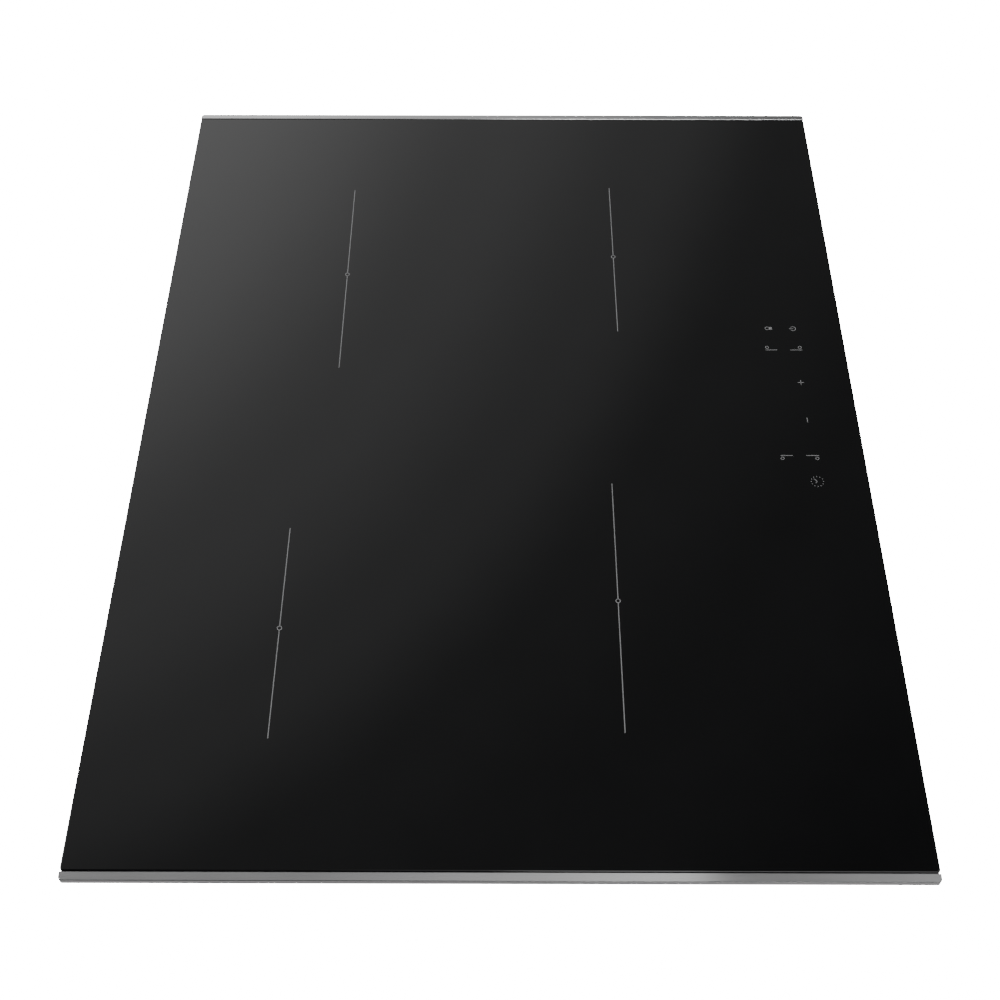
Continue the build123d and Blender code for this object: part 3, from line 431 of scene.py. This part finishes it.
def finish_print(name, mesh, finish):
    """Turns printed shapes into a piece that rides with the glass."""
    bmesh.ops.recalc_face_normals(mesh, faces=mesh.faces)
    piece = new_object(name, mesh)
    paint(piece, finish)
    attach(piece, root_body)
    print(name, "faces", len(piece.data.polygons))
    return piece


grey_enamel = Finish("grey_enamel", (0.23, 0.23, 0.235))
grey_enamel.vary_colour(grey_enamel.noise(0.0006), 0.8, 1.15)
grey_enamel.vary_roughness(grey_enamel.noise(0.001), 0.35, 0.55)
grey_enamel.raise_surface(grey_enamel.noise(0.0004), 0.00001)

# %% [markdown]
# Each cooking zone has one mark: a thin line across its middle with a small ring in the centre. The
# line is as long as the pot the zone is made for, so the two big zones have the longer lines.

# %% Zone marks
mark_width = 0.62 * mm
mark_ring_radius = 1.75 * mm
mark_ring_width = 0.55 * mm
ring_to_line = 0.1 * mm
long_half, short_half = 98.5 * mm, 81 * mm
half_lines = {
    "rear_right": long_half, "front_right": short_half, "rear_left": short_half, "front_left": long_half,
}
for zone, centre in zone_centres.items():
    mark = bmesh.new()
    for side in (-1, 1):
        inner = centre.x + side * (mark_ring_radius + ring_to_line)
        outer = centre.x + side * half_lines[zone]
        print_line(mark, (inner, centre.y), (outer, centre.y), mark_width)
    print_ring(mark, (centre.x, centre.y), mark_ring_radius, mark_ring_width)
    finish_print(f"zone_mark_{zone}", mark, grey_enamel)

# %% [markdown]
# The touch keys are printed symbols above the sensor springs: a zone key is a short line with a
# ring at its outer end, plus and minus are bare strokes, and a dial of twelve dots with two hands
# stands for the timer.

# %% Zone keys, plus and minus
key_line = 0.55 * mm
keys = bmesh.new()
key_rows = {"upper": 74.1 * mm, "lower": -28.4 * mm}
key_lines = ((-199.9 * mm, -208.2 * mm), (-218.3 * mm, -227.0 * mm))
ring_offset = 2.6 * mm
inner_ring_inset, outer_ring_inset = 1.0 * mm, 1.3 * mm
key_ring_radius, key_ring_width = 1.4 * mm, 0.45 * mm
for row, key_x in key_rows.items():
    outwards = 1 if row == "upper" else -1
    for number, (start_y, end_y) in enumerate(key_lines):
        print_line(keys, (key_x, start_y), (key_x, end_y), key_line)
        ring_y = start_y - inner_ring_inset if number == 0 else end_y + outer_ring_inset
        ring_place = (key_x + outwards * ring_offset, ring_y)
        print_ring(keys, ring_place, key_ring_radius, key_ring_width, segments=24)
plus_place, minus_place = (41.3 * mm, -222.4 * mm), (4.8 * mm, -222.8 * mm)
arm = 2.1 * mm
print_line(keys, (plus_place[0] - arm, plus_place[1]), (plus_place[0] + arm, plus_place[1]), key_line)
print_line(keys, (plus_place[0], plus_place[1] - arm), (plus_place[0], plus_place[1] + arm), key_line)
print_line(keys, (minus_place[0] - arm, minus_place[1]), (minus_place[0] + arm, minus_place[1]), key_line)
finish_print("printed_zone_keys", keys, grey_enamel)

# %% [markdown]
# The timer's dial is a ring of twelve dots. Each dot is one dot turned round the middle by its hour,
# and the hands are two short lines.

# %% Timer dial
dial = bmesh.new()
dial_centre = Vector((-51.9 * mm, -223.1 * mm))
dial_radius = 4.37 * mm
dial_dot_radius = 0.34 * mm
hand_width = 0.5 * mm
long_hand = Vector((2.5 * mm, 2.1 * mm))
short_hand = Vector((-1.3 * mm, 1.0 * mm))
for hour in range(12):
    spoke = Matrix.Rotation(2 * pi * hour / 12, 2) @ Vector((dial_radius, 0))
    print_dot(dial, dial_centre + spoke, dial_dot_radius)
for hand in (long_hand, short_hand):
    print_line(dial, dial_centre, dial_centre + hand, hand_width)
finish_print("printed_timer_dial", dial, grey_enamel)

# %% [markdown]
# Power is an open ring with a stroke through its gap. The lock is a shackle, which is an open ring
# too, over a body that is filled with three thick strokes side by side.

# %% Power and lock symbols


def print_arc(mesh, centre, outer, width, gap_middle, gap, segments=36):
    """A printed ring with a gap, its middle at an angle in degrees."""
    first = len(mesh.faces)
    print_ring(mesh, centre, outer, width, segments)
    mesh.faces.ensure_lookup_table()
    towards = Vector((cos(radians(gap_middle)), sin(radians(gap_middle))))
    inside = []
    for face in mesh.faces[first:]:
        arm_to_face = face.calc_center_median().to_2d() - Vector(centre)
        if arm_to_face.length > 0 and arm_to_face.angle(towards) < radians(gap / 2):
            inside.append(face)
    bmesh.ops.delete(mesh, geom=inside, context="FACES")
    open_edges = [e for e in mesh.edges if e.is_boundary]
    bmesh.ops.holes_fill(mesh, edges=open_edges, sides=4)


symbols = bmesh.new()
symbol_stroke = 0.5 * mm
power_place = (96.2 * mm, -222.7 * mm)
power_radius, power_ring_width, power_gap = 2.3 * mm, 0.45 * mm, 84
power_line = 2.7 * mm
print_arc(symbols, power_place, power_radius, power_ring_width, 90, power_gap)
print_line(symbols, power_place, (power_place[0], power_place[1] + power_line), symbol_stroke)
lock_place = (96.5 * mm, -205.4 * mm)
shackle_radius, shackle_gap = 1.75 * mm, 90
shackle_place = (lock_place[0], lock_place[1] + 2.4 * mm)
print_arc(symbols, shackle_place, shackle_radius, symbol_stroke, -90, shackle_gap)
body_pitch, body_stroke = 0.8 * mm, 0.9 * mm
body_far, body_near = 0.8 * mm, 0.9 * mm
for row in (-1, 0, 1):
    stroke_x = lock_place[0] + row * body_pitch
    left_end = (stroke_x, lock_place[1] + body_far)
    right_end = (stroke_x, lock_place[1] - body_near)
    print_line(symbols, left_end, right_end, body_stroke)
finish_print("printed_power_and_lock", symbols, grey_enamel)

# %% [markdown]
# The side trims are extruded aluminium, brushed along their length and satin anodised. The
# brushing is a noise drawn out along Y, fine across the strip, in both the roughness and the relief.

# %% Satin aluminium trims
satin_aluminium = Finish("satin_aluminium", (0.60, 0.60, 0.605), metallic=1.0)
brushed = satin_aluminium.noise(0.0005, stretch=(1, 0.012, 1), detail=6)
satin_aluminium.vary_colour(satin_aluminium.noise(0.08), 0.93, 1.04)
satin_aluminium.vary_roughness(brushed, 0.17, 0.22)
satin_aluminium.raise_surface(brushed, 0.000004)
satin_aluminium.shader.inputs["Anisotropic"].default_value = 1.0
across_strip = satin_aluminium.tree.nodes.new("ShaderNodeCombineXYZ")
across_strip.inputs["X"].default_value = 1.0
satin_aluminium.tree.links.new(across_strip.outputs["Vector"], satin_aluminium.shader.inputs["Tangent"])
for side in ("left", "right"):
    paint(frame["nodes"][f"trim_{side}"], satin_aluminium)

# %% [markdown]
# Below the glass each material has a look of its own. Galvanised steel shows zinc spangle, foam is
# pitted, moulded plastic has a fine grain, ferrite is a dull fired ceramic, litz wire is a twist of
# varnished strands, and a circuit board has a green mask. One short function for each family, and
# a table from the record's slots to finishes, cover every carried-over piece.

# %% Finish families


def moulded(name, colour, grain=0.0005, gloss=(0.45, 0.6)):
    """Injection-moulded plastic or rubber with a fine grain."""
    finish = Finish(name, colour)
    finish.vary_colour(finish.noise(0.02), 0.9, 1.08)
    finish.vary_roughness(finish.noise(0.004), *gloss)
    finish.raise_surface(finish.noise(grain, detail=2), grain * 0.05)
    return finish


def drawn_metal(name, colour, stretch=(1, 1, 1), gloss=(0.28, 0.45)):
    """Rolled, drawn or plated metal with faint marks along one direction."""
    finish = Finish(name, colour, metallic=1.0)
    marks = finish.noise(0.0008, stretch=stretch, detail=5)
    finish.vary_colour(finish.noise(0.03), 0.88, 1.05)
    finish.vary_roughness(marks, *gloss)
    finish.raise_surface(marks, 0.00001)
    return finish


def galvanised(name):
    """Thin zinc on rolled sheet: fine, faint crystals with a dull bloom."""
    finish = Finish(name, (0.54, 0.55, 0.56), metallic=1.0)
    spangle = finish.cells(0.005)
    finish.vary_colour(spangle, 0.95, 1.03)
    finish.vary_roughness(finish.noise(0.02), 0.36, 0.44)
    finish.raise_surface(finish.noise(0.002), 0.00001)
    return finish


def circuit_board(name):
    """Green solder mask over faint copper tracks."""
    finish = Finish(name, (0.02, 0.13, 0.07))
    finish.vary_colour(finish.cells(0.004), 0.75, 1.3)
    finish.vary_roughness(finish.noise(0.003), 0.25, 0.4)
    finish.raise_surface(finish.cells(0.003), 0.00004)
    return finish


def twisted_wire(name, colour):
    """Varnished copper strands laid side by side."""
    finish = Finish(name, colour, metallic=0.85)
    strands = finish.noise(0.0007, stretch=(1, 1, 0.3), detail=4)
    finish.vary_colour(strands, 0.65, 1.15)
    finish.vary_roughness(strands, 0.28, 0.5)
    finish.raise_surface(strands, 0.0001)
    return finish


finishes = {
    "black_adhesive": moulded("silicone_black", (0.02, 0.02, 0.02), 0.001, (0.5, 0.7)),
    "foam_seal": moulded("foam_dark", (0.045, 0.045, 0.047), 0.0012, (0.85, 0.95)),
    "galvanised_steel": galvanised("galvanised_steel"),
    "zinc_screws": drawn_metal("zinc_plate", (0.68, 0.67, 0.62)),
    "plain_aluminium": drawn_metal("mill_aluminium", (0.74, 0.75, 0.76), (1, 0.03, 1)),
    "spring_steel": drawn_metal("spring_steel", (0.48, 0.48, 0.5), gloss=(0.2, 0.35)),
    "circuit_board": circuit_board("circuit_board"),
    "natural_plastic": moulded("natural_plastic", (0.72, 0.69, 0.60)),
    "black_plastic": moulded("black_plastic", (0.03, 0.03, 0.032)),
    "capacitor_plastic": moulded("capacitor_shell", (0.45, 0.06, 0.03), gloss=(0.2, 0.35)),
    "copper_choke": twisted_wire("choke_copper", (0.62, 0.25, 0.09)),
    "rubber_gland": moulded("gland_rubber", (0.03, 0.03, 0.03), gloss=(0.6, 0.8)),
    "lead_sleeve": moulded("lead_sleeve", (0.30, 0.05, 0.03), gloss=(0.4, 0.55)),
    "ribbon_cable": moulded("ribbon_grey", (0.42, 0.43, 0.45)),
    "carrier_plastic": moulded("carrier_plastic", (0.11, 0.095, 0.08)),
    "litz_copper": twisted_wire("litz_copper", (0.66, 0.28, 0.12)),
    "ferrite": moulded("ferrite_grey", (0.05, 0.05, 0.055), 0.0008, (0.55, 0.75)),
    "mica": moulded("mica_sheet", (0.56, 0.53, 0.43), 0.003, (0.3, 0.6)),
    "sensor_ceramic": moulded("sensor_ceramic", (0.80, 0.79, 0.74), gloss=(0.15, 0.3)),
}
for entry in frame["record"]["subparts"]:
    if entry["material_slot"] in finishes:
        paint(frame["nodes"][entry["node"]], finishes[entry["material_slot"]])
print("finishes", len(finishes))

# %% [markdown]
# A coil unit floats on its springs, and its lead gives way with it. A stiff copy would poke through
# the coil when it is pressed down. The springs and the leads are sorted by the coil they belong to,
# and each set is copied as a stiff piece of its own that rides with the cooktop.

# %% Springs and leads sorted by coil
spring_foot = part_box("coil_plate")[1].z
lead_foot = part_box("board_connectors")[1].z


def islands(mesh):
    """The separate pieces of a bmesh, each as a set of its corners."""
    left = set(mesh.verts)
    while left:
        island, edge_of_search = set(), [next(iter(left))]
        while edge_of_search:
            vert = edge_of_search.pop()
            if vert in left:
                left.discard(vert)
                island.add(vert)
                edge_of_search += [e.other_vert(vert) for e in vert.link_edges]
        yield island


def copy_for_zone(node, name, zone, foot, finish):
    """A copy of the parts of a node that belong to one zone."""
    mesh = bmesh.new()
    mesh.from_mesh(frame["nodes"][node].data)
    mesh.transform(frame["nodes"][node].matrix_world)
    bmesh.ops.remove_doubles(mesh, verts=mesh.verts, dist=0.001 * mm)
    for island in list(islands(mesh)):
        top = max(island, key=lambda vert: vert.co.z).co
        nearest = min(zone_names, key=lambda other: (zone_centres[other] - top).to_2d().length)
        if nearest != zone:
            bmesh.ops.delete(mesh, geom=list(island), context="VERTS")
    piece = new_object(f"{name}_{zone}", mesh)
    for face in piece.data.polygons:
        face.use_smooth = True
    piece.data.set_sharp_from_angle(angle=radians(40))
    paint(piece, finish)
    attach(piece, root_body)
    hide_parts(node)
    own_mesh(piece)
    return piece


for zone in zone_names:
    for node, name, foot, look in (
        ("coil_springs", "float_springs", spring_foot, "spring_steel"),
        ("coil_leads", "coil_lead", lead_foot, "lead_sleeve"),
    ):
        copy_for_zone(node, name, zone, foot, finishes[look])
